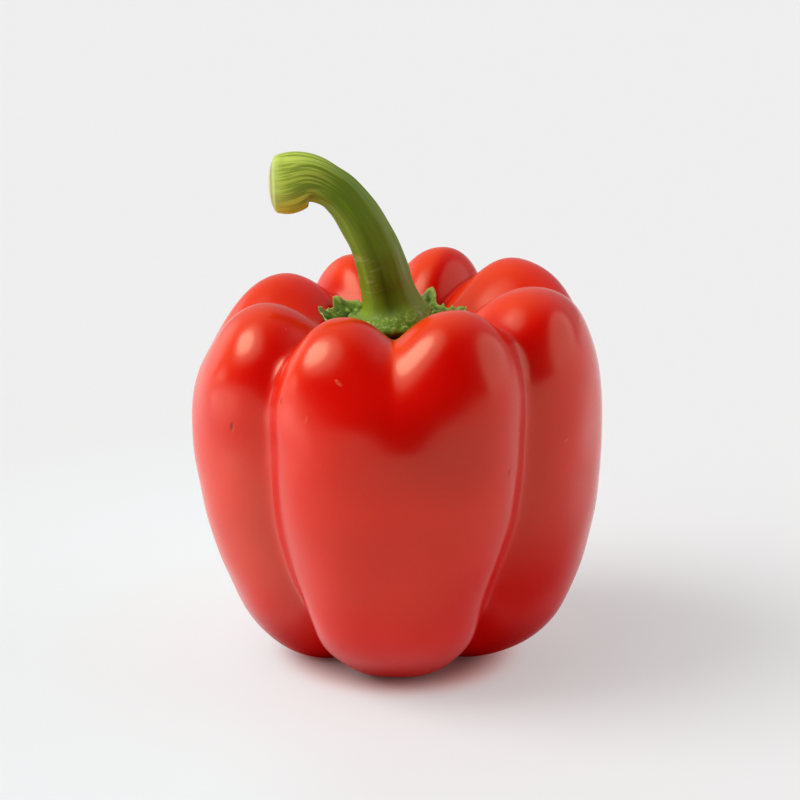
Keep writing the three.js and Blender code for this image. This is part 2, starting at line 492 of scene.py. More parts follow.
@dataclass(frozen=True)
class SkinFinish:
    """Ripe, waxy skin: scarlet over crimson, with small healed marks. Painted shade darkens the
    furrows, the lower right, a band high on the front and the tips, and a painted orange tint
    lies where the skin faces the key light.

    A pair of numbers says between which places a tone or the wax starts and is full, in
    millimetres along the axis in its name. For the band it is the middle and the half width.
    """

    scarlet: Colour = (0.87, 0.0034, 0.0010)
    crimson: Colour = (0.77, 0.0020, 0.0008)
    # A painted orange tint where the skin faces the key light, also the colour of the pores.
    lit_and_pore_orange: Colour = (0.93, 0.052, 0.0040)
    # Painted shade, deep in the furrows.
    furrow: Colour = (0.68, 0.0022, 0.0010)
    # Painted shade, low on the right and in a band high on the front.
    shaded: Colour = (0.60, 0.0016, 0.0006)
    # Painted shade, at the tips low down.
    deep: Colour = (0.36, 0.0008, 0.0003)
    scar: Colour = (0.16, 0.07, 0.025)
    tint: Colour = (1.0, 0.82, 0.55)
    shade_x: tuple[float, float] = (-8.0, 28.0)
    shade_z: tuple[float, float] = (56.0, 16.0)
    shade_share: float = 0.9
    band_x: tuple[float, float] = (4.0, 24.0)
    band_z: tuple[float, float] = (57.0, 14.0)
    band_share: float = 0.75
    tip_shade_z: tuple[float, float] = (17.0, 1.0)
    tip_shade_share: float = 0.9
    crease_shade_share: float = 0.8
    pore_share: float = 0.05
    waxy_x: tuple[float, float] = (-6.0, -38.0)
    waxy_z: tuple[float, float] = (58.0, 42.0)
    plain_wax: float = 0.5
    bare_x: tuple[float, float] = (2.0, 20.0)
    bare_z: tuple[float, float] = (44.0, 20.0)
    bare_loss: float = 0.8
    dusty_y: tuple[float, float] = (2.0, 14.0)
    dusty_z: tuple[float, float] = (64.0, 74.0)
    dusty_loss: float = 0.45
    wax_z: tuple[float, float] = (1.0, 30.0)
    scar_edge: tuple[float, float] = (0.8, 2.4)
    scar_z: tuple[float, float] = (10.0, 20.0)
    mark_reach: float = 2.5
    ripple_depth: float = 0.022
    pore_depth: float = 0.003

    def ripeness(self, f: Finish, place: Feed) -> bpy.types.NodeSocket:
        """Colours the skin by where it lies on the fruit, with painted shade and a painted tint.

        Args:
            f: The finish that is being built.
            place: The point on the piece.

        Returns:
            The colour, without the marks.
        """
        x, _, height = f.split(place)
        patches = f.noise(place, 30.0, 2.0, 0.5)
        colour = f.mix(f.remap(patches, 0.3, 0.7), self.crimson, self.scarlet)
        # Painted shade: darker low on the right, away from the key light.
        shade = f.times(f.zone(x, self.shade_x), f.zone(height, self.shade_z))
        colour = f.mix(f.times(shade, self.shade_share), colour, self.shaded)
        # Painted shade: a darker band high on the front of the fruit.
        (middle_x, half_x), (middle_z, half_z) = self.band_x, self.band_z
        band = f.times(
            f.hump(height, middle_z * MM, half_z * MM), f.hump(x, middle_x * MM, half_x * MM)
        )
        colour = f.mix(f.times(band, self.band_share), colour, self.shaded)
        # Painted shade: darker at the tips, low down.
        colour = f.mix(f.zone(height, self.tip_shade_z, 0.0, self.tip_shade_share), colour, self.deep)
        # Painted light: an orange tint on the side that faces the key light, broken up by noise.
        cloud = f.remap(f.noise(place, 60.0, 2.0), 0.3, 0.7, 0.7, 1.0)
        colour = f.mix(f.times(f.paint("sun"), cloud), colour, self.lit_and_pore_orange)
        # Painted shade: the deeper in a furrow, the darker the skin.
        crease_shade = f.remap(f.paint("furrow"), 0.45, 1.0, 0.0, self.crease_shade_share)
        colour = f.mix(crease_shade, colour, self.furrow)
        pores = f.remap(f.cells(place, 900.0), 0.05, 0.35, self.pore_share, 0.0)
        return f.mix(pores, colour, self.lit_and_pore_orange)

    def gloss(self, f: Finish, place: Feed) -> bpy.types.NodeSocket:
        """Says how much wax the skin carries.

        Args:
            f: The finish that is being built.
            place: The point on the piece.

        Returns:
            The specular level: most low on the left flank, least low on the right and at the tips.
        """
        x, y, height = f.split(place)
        waxy = f.times(f.zone(x, self.waxy_x), f.zone(height, self.waxy_z))
        gloss = f.maths("MULTIPLY_ADD", waxy, 1.0 - self.plain_wax, self.plain_wax)
        bare = f.times(f.zone(x, self.bare_x), f.zone(height, self.bare_z))
        dusty = f.times(f.zone(y, self.dusty_y), f.zone(height, self.dusty_z))
        gloss = f.times(gloss, f.spare(bare, self.bare_loss))
        gloss = f.times(gloss, f.spare(dusty, self.dusty_loss))
        return f.times(gloss, f.zone(height, self.wax_z))

    def material(self, marks: Sequence[tuple[Mark, Vector, Vector]]) -> bpy.types.Material:
        """Makes the skin.

        Args:
            marks: Each mark with its place in metres and its turn as Euler angles.

        Returns:
            The material.
        """
        f = Finish("ripe_skin")
        place = f.place()
        _, _, height = f.split(place)
        colour = self.ripeness(f, place)
        ripple = f.bump(f.noise(place, 150.0, 2.0, 0.5), self.ripple_depth)
        relief = f.bump(f.noise(place, 1500.0, 1.0, 0.5), self.pore_depth, ripple)

        raised: Feed = 0.0
        for mark, centre, lean in marks:
            tone, strength, depth = mark.kind.value
            size = (mark.length * MM, mark.width * MM, max(mark.length, self.mark_reach) * MM)
            local = f.node(
                "Mapping",
                {"Vector": place, "Location": centre, "Rotation": lean, "Scale": size},
                vector_type="TEXTURE",
            ).outputs[0]
            spot = f.remap(f.length(local), 0.18, 0.55, 1.0, 0.0)
            colour = f.mix(f.times(spot, strength), colour, tone)
            raised = f.maths("MULTIPLY_ADD", spot, depth, raised)

        off_axis = f.length(f.stretch(place, (1.0, 1.0, 0.0)))
        blossom = f.times(
            f.zone(off_axis, self.scar_edge, 1.0, 0.0), f.zone(height, self.scar_z, 1.0, 0.0)
        )
        f.set(
            Base_Color=f.mix(blossom, colour, self.scar),
            Roughness=f.remap(f.noise(place, 120.0, 3.0, 0.6), 0.3, 0.7, 0.20, 0.24),
            Normal=f.bump(raised, 1.0, relief),
            IOR=1.6,
            Specular_IOR_Level=self.gloss(f, place),
            Specular_Tint=self.tint,
            Subsurface_Weight=0.04,
            Subsurface_Radius=(1.0, 0.12, 0.05),
            Subsurface_Scale=2.0 * MM,
        )
        return f.material


@dataclass
class Fruit:
    """The blocky fruit: four lobes round a sunken crown, each split into two shoulder bumps.

    Rows are counted in stations of the crest. A swelling has four of them: where it starts, is
    full, starts to fade and ends. A row with a width is the middle of a soft hill.
    """

    crest: tuple[Station, ...] = (
        Station(0.0, 71.4, 0.0, 0.0, 1.0),
        Station(8.0, 71.6, 0.3, 0.0, 1.0),
        Station(13.8, 73.1, 1.5, 0.8, 1.0),
        Station(19.4, 78.2, 4.6, 3.4, 1.0),
        Station(27.8, 81.7, 7.2, 5.4, 1.0),
        Station(36.2, 78.2, 6.8, 4.2, 1.0),
        Station(41.0, 68.5, 6.2, 1.9, 0.75),
        Station(42.3, 56.0, 6.2, 0.0, 0.2),
        Station(41.5, 41.0, 6.4, 0.0, 0.0),
        Station(38.6, 26.0, 7.6, 0.0, 0.0),
        Station(33.4, 12.5, 9.6, 0.0, 0.0),
        Station(25.2, 3.6, 9.5, 0.0, 0.0),
        Station(15.0, 0.0, 6.5, 0.0, 0.0),
        Station(7.0, 3.0, 2.0, 0.0, 0.0),
        Station(0.0, 5.5, 0.0, 0.0, 0.0),
    )
    lobes: tuple[Lobe, ...] = (
        Lobe(-45.5, -1.5, 44.5, -0.8, -1.5, (0.4, 0.1), (1.0, 0.75)),
        Lobe(44.5, 95.0, 145.0, 1.9, 0.0, (0.1, -0.8), (0.75, 0.95)),
        Lobe(145.0, 180.0, 215.0, 0.0, 0.0, (0.0, 0.0), (0.95, 0.9)),
        Lobe(215.0, 265.0, 314.5, 0.3, 0.0, (-0.7, -0.7), (0.9, 1.0)),
    )
    marks: tuple[Mark, ...] = (
        Mark(MarkKind.SCRATCH, -57.0, 56.5, 2.3, 0.45, 75.0),
        Mark(MarkKind.NICK, -16.5, 71.0, 1.0, 0.5, -50.0),
        Mark(MarkKind.SCRATCH, -36.0, 65.5, 1.9, 0.3, -55.0),
        Mark(MarkKind.SPECK, -25.0, 63.5, 0.8, 0.35, 20.0),
        Mark(MarkKind.SPECK, -66.0, 77.0, 0.7, 0.4),
        Mark(MarkKind.SPECK, -52.0, 77.5, 0.6, 0.4),
        Mark(MarkKind.SCRATCH, 33.0, 51.0, 0.9, 0.25, 30.0),
        Mark(MarkKind.SPECK, 58.0, 54.0, 0.9, 0.4, 70.0),
        Mark(MarkKind.SPECK, 73.0, 76.0, 0.9, 0.4, 60.0),
        Mark(MarkKind.SCRATCH, 118.0, 47.0, 2.4, 0.35, 75.0),
        Mark(MarkKind.NICK, 171.0, 60.0, 1.3, 0.5, 25.0),
        Mark(MarkKind.SPECK, 196.0, 38.0, 0.9, 0.5),
        Mark(MarkKind.SCRATCH, 243.0, 66.0, 1.8, 0.3, -40.0),
        Mark(MarkKind.SPECK, 266.0, 33.0, 1.0, 0.5, 15.0),
    )
    finish: SkinFinish = SkinFinish()
    rest_flat: float = 0.8
    rest_soft: float = 0.3
    crown_tilt: float = 3.9
    tilt_from: float = 45.0
    tilt_to: float = 80.0
    shoulder_row: float = 4.0
    top_rows: tuple[float, ...] = (1.5, 4.0, 5.0, 7.0)
    heel_rows: tuple[float, ...] = (7.0, 10.0, 10.0, 12.0)
    toe_rows: tuple[float, ...] = (9.5, 11.0, 11.5, 13.0)
    uneven_rows: tuple[float, ...] = (1.0, 4.0, 12.0, 14.0)
    bump_middle: float = 0.52
    bump_dip: Furrow = Furrow(0.13, 2.2)
    bump_furrow: Furrow = Furrow(0.13, 2.4)
    flank_furrow: Furrow = Furrow(0.055, 3.2)
    waist_breadth: float = -0.5
    waist_breadth_row: tuple[float, float] = (9.4, 1.0)
    foot_breadth: float = 0.2
    foot_breadth_rows: tuple[float, float] = (10.0, 11.5)
    # How the painted shade in the furrows fades across the crest.
    crease_shade_bump: Furrow = Furrow(0.1, 1.6)
    crease_shade_flank: Furrow = Furrow(0.07, 2.0)
    columns_per_bump: int = 48
    rows: int = 236
    evening_reach: float = 1.5
    evening_width: float = 0.8
    evening_steps: int = 25
    swell: Waves = field(default_factory=lambda: Waves(11, 34.0))
    dents: Waves = field(default_factory=lambda: Waves(23, 13.0))
    swell_depth: float = 0.34
    dent_depth: float = 0.09
    drift: float = 0.9
    pinch: tuple[float, float] = (2.0, 3.6)
    pinch_row: tuple[float, float] = (9.2, 0.9)
    foot_spread: float = 4.0
    foot_row: tuple[float, float] = (10.7, 0.8)
    flank_radius: float = 40.0
    pit_radius: float = 22.0
    # Where the key light comes from, and how squarely the skin faces it, for the painted tint.
    key_lit_way: tuple[float, float, float] = (-0.62, 0.10, 0.78)
    key_lit_facing: tuple[float, float] = (0.25, 1.0)

    def __post_init__(self) -> None:
        """Fits the curves through the crest's stations."""
        self.radii = Spline([s.r for s in self.crest], Ends.ODD)
        self.heights = Spline([s.z for s in self.crest], Ends.EVEN)
        self.grooves = Spline([s.groove for s in self.crest], Ends.EVEN)
        self.dips = Spline([s.dip for s in self.crest], Ends.EVEN)
        self.crowns = Spline([s.crown for s in self.crest], Ends.EVEN)

    def tilted(self, points: np.ndarray) -> np.ndarray:
        """Leans everything above the flank up towards +X.

        Args:
            points: Points with X, Y and Z last.

        Returns:
            The leaning points.
        """
        lean = points[..., 0] * math.tan(math.radians(self.crown_tilt))
        raised = points.copy()
        raised[..., 2] += lean * ease(self.tilt_from, self.tilt_to, points[..., 2])
        return raised

    def outward(self, places: np.ndarray) -> tuple[np.ndarray, np.ndarray]:
        """Finds the way out of the skin, evened out so that furrows don't fold.

        Args:
            places: The rows' places along the crest.

        Returns:
            Its share away from the axis and its share upwards, as columns.
        """
        near = np.linspace(-self.evening_reach, self.evening_reach, self.evening_steps)
        spread = np.clip(places[:, None] + near, 0.0, len(self.crest) - 1.0)
        slope_r, slope_z = self.radii.slope(spread), self.heights.slope(spread)
        length = np.hypot(slope_r, slope_z)
        weight = hill(near, 0.0, self.evening_width)
        way_r = (-slope_z / length * weight).sum(1)
        way_z = (slope_r / length * weight).sum(1)
        length = np.hypot(way_r, way_z)
        return (way_r / length)[:, None], (way_z / length)[:, None]

    def pit_height(self, x: np.ndarray, y: np.ndarray) -> np.ndarray:
        """Finds the height of the pit's wall near the middle, without its furrows.

        Args:
            x: The points' X.
            y: The points' Y.

        Returns:
            The wall's height at each point.
        """
        places = np.linspace(0.0, self.shoulder_row, 400)
        wall = np.interp(np.hypot(x, y), self.radii.at(places), self.heights.at(places))
        return self.tilted(np.stack([x, y, wall], axis=-1))[..., 2] - self.rest_flat

    def lay_out(self) -> Columns:
        """Lays the skin's columns out over the lobes.

        Returns:
            The columns, anticlockwise from above.
        """
        steps = 2 * self.columns_per_bump
        across = np.tile(np.arange(steps) / self.columns_per_bump - 1.0, len(self.lobes))
        lobes = [(l.start, l.middle, l.end, l.heel, l.toe, *l.lifts, *l.seams) for l in self.lobes]
        start, middle, end, heel, toe, *sides = np.repeat(lobes, steps, axis=0).T
        first_half = across < 0.0
        half = np.where(first_half, middle - start, end - middle)
        away = np.abs(across)
        gap = np.where(away < self.bump_middle, self.bump_middle, 1.0 - self.bump_middle)
        return Columns(
            across=across,
            on_bump=(away - self.bump_middle) / gap,
            angle=middle + across * half,
            heel=heel,
            toe=toe,
            lift=np.where(first_half, sides[0], sides[1]),
            seam=np.where(first_half, sides[2], sides[3]),
        )

    def sink(self, places: np.ndarray, columns: Columns) -> tuple[np.ndarray, np.ndarray]:
        """Finds how far the skin lies under the crest.

        Args:
            places: The rows' places along the crest.
            columns: The columns.

        Returns:
            How far each point has sunk, and its painted shade: how deep in a furrow it lies, 0 to
            1.
        """
        across, on_bump = columns.across, columns.on_bump
        groove = np.maximum(self.grooves.at(places), 0.0)[:, None]
        dip = np.maximum(self.dips.at(places), 0.0)[:, None]
        crown = np.clip(self.crowns.at(places), 0.0, 1.0)[:, None]
        bumps = np.where(
            on_bump < 0.0,
            dip * self.bump_dip.sunk(on_bump),
            groove * columns.seam * self.bump_furrow.sunk(on_bump),
        )
        broader = self.waist_breadth * hill(places, *self.waist_breadth_row)
        broader = broader + self.foot_breadth * ease(*self.foot_breadth_rows, places)
        flank = groove * self.flank_furrow.sunk(across, broader[:, None])
        depth = crown * bumps + (1.0 - crown) * flank
        for amount, share, rows in (
            (columns.heel, across, self.heel_rows),
            (columns.toe, across, self.toe_rows),
            (columns.lift, on_bump, self.top_rows),
        ):
            depth = depth - amount * (1.0 - share**2) * between(rows, places)[:, None]
        # Painted shade: how deep each point lies in a furrow, to darken the skin there.
        dark = np.where(on_bump > 0.0, self.crease_shade_bump.sunk(on_bump), 0.0) * crown
        return depth, dark + self.crease_shade_flank.sunk(across) * (1.0 - crown)

    def shell(self, places: np.ndarray, depth: np.ndarray, angle: np.ndarray) -> np.ndarray:
        """Places the skin round the axis.

        Args:
            places: The rows' places along the crest.
            depth: How far each point lies under the crest.
            angle: The angle of each point.

        Returns:
            The points as (ring, column, 3).
        """
        out_r, out_z = self.outward(places)
        radius = self.radii.at(places)[:, None] - out_r * depth
        return polar(radius, angle, self.heights.at(places)[:, None] - out_z * depth)

    def skin(self) -> tuple[np.ndarray, np.ndarray]:
        """Shapes the skin.

        Returns:
            Its rings of points, and the painted shade: how deep in a furrow each point lies, 0 to
            1.
        """
        places = (np.arange(self.rows - 1) + 1.0) / self.rows * (len(self.crest) - 1)
        columns = self.lay_out()
        depth, furrow = self.sink(places, columns)
        angle = columns.angle
        rough = self.shell(places, depth, np.broadcast_to(angle, depth.shape))
        share = between(self.uneven_rows, places)[:, None]
        uneven = self.swell_depth * self.swell.at(rough) + self.dent_depth * self.dents.at(rough)
        turned = angle + self.drift * self.swell.at(rough[..., [1, 2, 0]]) * share
        around = np.sin(np.radians(2.0 * angle))
        pinch = np.where(around > 0.0, self.pinch[1], self.pinch[0])
        waist = pinch * hill(places, *self.pinch_row)[:, None]
        waist = waist - self.foot_spread * hill(places, *self.foot_row)[:, None]
        points = self.tilted(self.shell(places, depth - uneven * share, turned - waist * around))
        height = points[..., 2] - self.rest_flat
        points[..., 2] = 0.5 * (height + np.hypot(height, self.rest_soft))
        points[..., 2] -= points[..., 2].min()
        return points, furrow

    def settle(self, mark: Mark, points: np.ndarray) -> tuple[Mark, Vector, Vector]:
        """Finds where a mark lies on the skin.

        Args:
            mark: The mark.
            points: The skin's points.

        Returns:
            The mark, its place in metres, and its turn as Euler angles.
        """
        flat = points.reshape(-1, 3)
        angles = np.degrees(np.arctan2(flat[:, 0], -flat[:, 1]))
        reach = np.hypot(flat[:, 0], flat[:, 1])
        aside = np.radians(turn_away(angles, mark.angle)) * self.flank_radius
        miss = np.hypot(aside, flat[:, 2] - mark.height)
        nearest = flat[np.argmin(np.where(reach < self.pit_radius, np.inf, miss))]
        turn = Vector((0.0, math.radians(mark.lean), math.radians(mark.angle)))
        return mark, Vector(nearest * MM), turn

    def sun(self, piece: bpy.types.Object) -> None:
        """Marks how much each point of the skin faces the key light, for a painted tint, 0 to 1.

        Args:
            piece: The skin, which gets the attribute for the painted tint.
        """
        mesh = piece.data
        normals = np.empty(len(mesh.vertices) * 3, np.float32)
        mesh.vertex_normals.foreach_get("vector", normals)
        facing = normals.reshape(-1, 3) @ np.array(self.key_lit_way)
        layer = mesh.attributes.new("sun", "FLOAT", "POINT")
        layer.data.foreach_set("value", ease(*self.key_lit_facing, facing).astype(np.float32))

    def build(self) -> bpy.types.Object:
        """Makes the fruit over its CAD solid and dresses it.

        Returns:
            The piece.
        """
        points, furrow = self.skin()
        low, high = (np.array(corner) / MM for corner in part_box("fruit"))
        flat = points.reshape(-1, 3)
        shift = (low + high) / 2.0 - (flat.min(0) + flat.max(0)) / 2.0
        points[..., :2] += shift[:2]
        blossom = points[-1].mean(0)
        pit = points[0].mean(0)
        # The furrow attribute sets the painted shade in the furrows.
        piece = closed_skin("ripe_fruit", pit, points, blossom, furrow=furrow)
        self.sun(piece)
        marks = [self.settle(mark, points) for mark in self.marks]
        piece.data.materials.append(self.finish.material(marks))
        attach(piece, BODY)
        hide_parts("fruit")
        return piece


# ---- the calyx ----------------------------------------------------------------------------------


@dataclass(frozen=True)
class Sepal:
    """One tooth of the calyx: where it is, how far it reaches, its half width and its curl."""

    angle: float
    reach: float
    width: float
    curl: float


@dataclass(frozen=True)
class CalyxFinish:
    """Rough green leaf: dark pits between paler grains, a pale rim and painted shade beneath."""

    # Dark green: for the dark mottle, and as painted shade under the rim.
    dark_and_shade_green: Colour = (0.035, 0.065, 0.005)
    blade: Colour = (0.130, 0.235, 0.012)
    pale: Colour = (0.42, 0.56, 0.09)
    straw: Colour = (0.55, 0.48, 0.14)
    pale_behind_y: tuple[float, float] = (-8.0, -3.0)
    roughness: tuple[float, float] = (0.34, 0.50)
    grain_depth: float = 0.10

    def material(self) -> bpy.types.Material:
        """Makes the leaf.

        Returns:
            The material.
        """
        f = Finish("calyx_leaf")
        place = f.place()
        share = f.paint("outward")
        mottle = f.noise(place, 420.0, 4.0, 0.65)
        grains = f.remap(f.paint("grain"), -0.9, 1.1)
        colour = f.mix(f.remap(mottle, 0.36, 0.62), self.dark_and_shade_green, self.blade)
        colour = f.mix(f.times(grains, 0.85), colour, self.blade)
        raised = f.times(f.remap(grains, 0.55, 1.0), f.remap(mottle, 0.35, 0.65))
        colour = f.mix(f.times(raised, 0.75), colour, self.pale)
        behind = f.zone(f.split(place)[1], self.pale_behind_y)
        rim = f.times(f.remap(share, 0.90, 1.0), f.remap(mottle, 0.3, 0.6, 0.4, 0.9))
        rim = f.times(rim, behind)
        colour = f.mix(rim, colour, self.pale)
        colour = f.mix(f.times(rim, f.remap(share, 0.97, 1.0)), colour, self.straw)
        # Painted shade: the underside of the saucer is painted dark green.
        colour = f.mix(f.remap(f.paint("upper"), 0.9, 0.3), colour, self.dark_and_shade_green)
        f.set(
            Base_Color=colour,
            Roughness=f.remap(mottle, 0.3, 0.7, *self.roughness),
            Specular_IOR_Level=0.22,
            Normal=f.bump(f.noise(place, 1100.0, 3.0, 0.6), self.grain_depth),
            Subsurface_Weight=0.1,
            Subsurface_Radius=(0.4, 0.6, 0.1),
            Subsurface_Scale=1.0 * MM,
        )
        return f.material


@dataclass
class Calyx:
    """The rough green saucer that lines the pit, with short ragged teeth round its rim.

    A pair with "from" in its name holds the shares of the way out to the rim where something
    starts and is full.
    """

    sepals: tuple[Sepal, ...] = (
        Sepal(-22.0, 11.2, 14.0, 0.2),
        Sepal(14.0, 11.3, 16.0, 0.3),
        Sepal(58.0, 14.8, 20.0, 0.2),
        Sepal(104.0, 15.8, 22.0, 0.0),
        Sepal(149.0, 16.3, 17.0, 0.3),
        Sepal(188.0, 15.8, 18.0, 0.3),
        Sepal(228.0, 15.6, 22.0, 0.1),
        Sepal(260.0, 15.4, 20.0, 0.0),
        Sepal(300.0, 14.4, 18.0, 0.2),
    )
    finish: CalyxFinish = CalyxFinish()
    axis_x: float = -1.1
    web: float = 13.6
    front_web: float = 10.7
    front_width: float = 40.0
    plateau: float = 8.0
    shelf: float = 12.2
    top: float = 73.5
    gap: float = 0.25
    lip: float = 0.5
    front_lip: float = 1.1
    thickness: float = 1.4
    edge: float = 0.65
    ragged: float = 0.28
    tooth_blunt: float = 0.55
    grain_depth: float = 0.36
    grain_from: tuple[float, float] = (0.50, 0.62)
    curl_from: tuple[float, float] = (0.55, 1.0)
    curl_power: float = 1.4
    front_bulk: float = 1.3
    bulk_from: tuple[float, float] = (0.5, 0.8)
    bulk_loss: float = 0.4
    thinnest: float = 0.3
    rings: int = 60
    columns: int = 480
    lumps: Waves = field(default_factory=lambda: Waves(5, 1.7, 36))
    tears: Waves = field(default_factory=lambda: Waves(9, 2.6, 20))

    def outline(self, angle: np.ndarray) -> tuple[np.ndarray, np.ndarray]:
        """Shapes the rim.

        Args:
            angle: The angle of each column.

        Returns:
            The rim's radius and how far it stands off the pit's wall, at each angle.
        """
        front = hill(turn_away(angle, 0.0), 0.0, self.front_width)
        radius = self.web + (self.front_web - self.web) * front
        curl = self.lip + (self.front_lip - self.lip) * front
        for sepal in self.sepals:
            away = np.abs(turn_away(angle, sepal.angle))
            point = np.clip(1.0 - away / sepal.width, 0.0, 1.0)
            tooth = point * (self.tooth_blunt + (1.0 - self.tooth_blunt) * point)
            radius = np.maximum(radius, radius + (sepal.reach - radius) * tooth)
            curl += sepal.curl * point**2
        rim = polar(radius, angle, np.zeros_like(angle))
        return radius + self.ragged * self.tears.at(rim), curl

    def build(self, fruit: Fruit) -> bpy.types.Object:
        """Makes the calyx over its CAD solid.

        Args:
            fruit: The fruit whose pit it lies in.

        Returns:
            The piece.
        """
        angle = np.arange(self.columns) / self.columns * 360.0
        radius, curl = self.outline(angle)
        outward = (np.arange(self.rings) + 1.0) / self.rings
        share = np.concatenate([outward, outward[::-1]])[:, None]
        upper = (np.arange(2 * self.rings) < self.rings)[:, None]
        flat = polar(radius * share, angle, np.zeros_like(share))
        flat[..., 0] += self.axis_x
        away = radius * share
        under = fruit.pit_height(flat[..., 0], flat[..., 1]) + self.gap
        under = under + curl * ease(*self.curl_from, share) ** self.curl_power
        thick = self.thickness + (self.edge - self.thickness) * share**2
        front = hill(turn_away(angle, 0.0), 0.0, self.front_width)
        bulk = self.front_bulk * front * ease(*self.bulk_from, share)
        thick = thick + bulk * (1.0 - self.bulk_loss * share**8)
        shelf = np.minimum(self.shelf, radius)
        rise = 1.0 - ease(0.0, 1.0, (away - self.plateau) / (shelf - self.plateau))
        over = np.maximum(under + thick, under + (self.top - under) * rise)
        grain = self.lumps.at(flat * [1.0, 1.0, 0.0])
        over = over + self.grain_depth * grain * ease(*self.grain_from, share)
        flat[..., 2] = np.where(upper, np.maximum(over, under + self.thinnest), under)
        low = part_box("calyx")[0].z / MM
        flat[..., 2] = np.maximum(flat[..., 2], low)
        crown = np.array([self.axis_x, 0.0, self.top])
        base = np.array([self.axis_x, 0.0, low])
        ones = np.ones_like(flat[..., 0])
        piece = closed_skin(
            "leafy_calyx",
            crown,
            flat,
            base,
            outward=share * ones,
            grain=grain * upper,
            # This attribute also tells the finish where the painted shade beneath goes.
            upper=upper * ones,
        )
        piece.data.materials.append(self.finish.material())
        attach(piece, BODY)
        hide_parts("calyx")
        return piece


# ---- the stem -----------------------------------------------------------------------------------


@dataclass(frozen=True)
class Joint:
    """A point of the stem's middle line in the XZ plane, and its width there."""

    x: float
    z: float
    width: float


@dataclass(frozen=True)
class Rib:
    """A ridge along the stem: where it runs round the foot, its half width and its height."""

    angle: float
    width: float
    height: float


@dataclass(frozen=True)
class Side:
    """A side of the stem with a colour of its own: its name, its middle and its half width."""

    name: str
    angle: float
    width: float


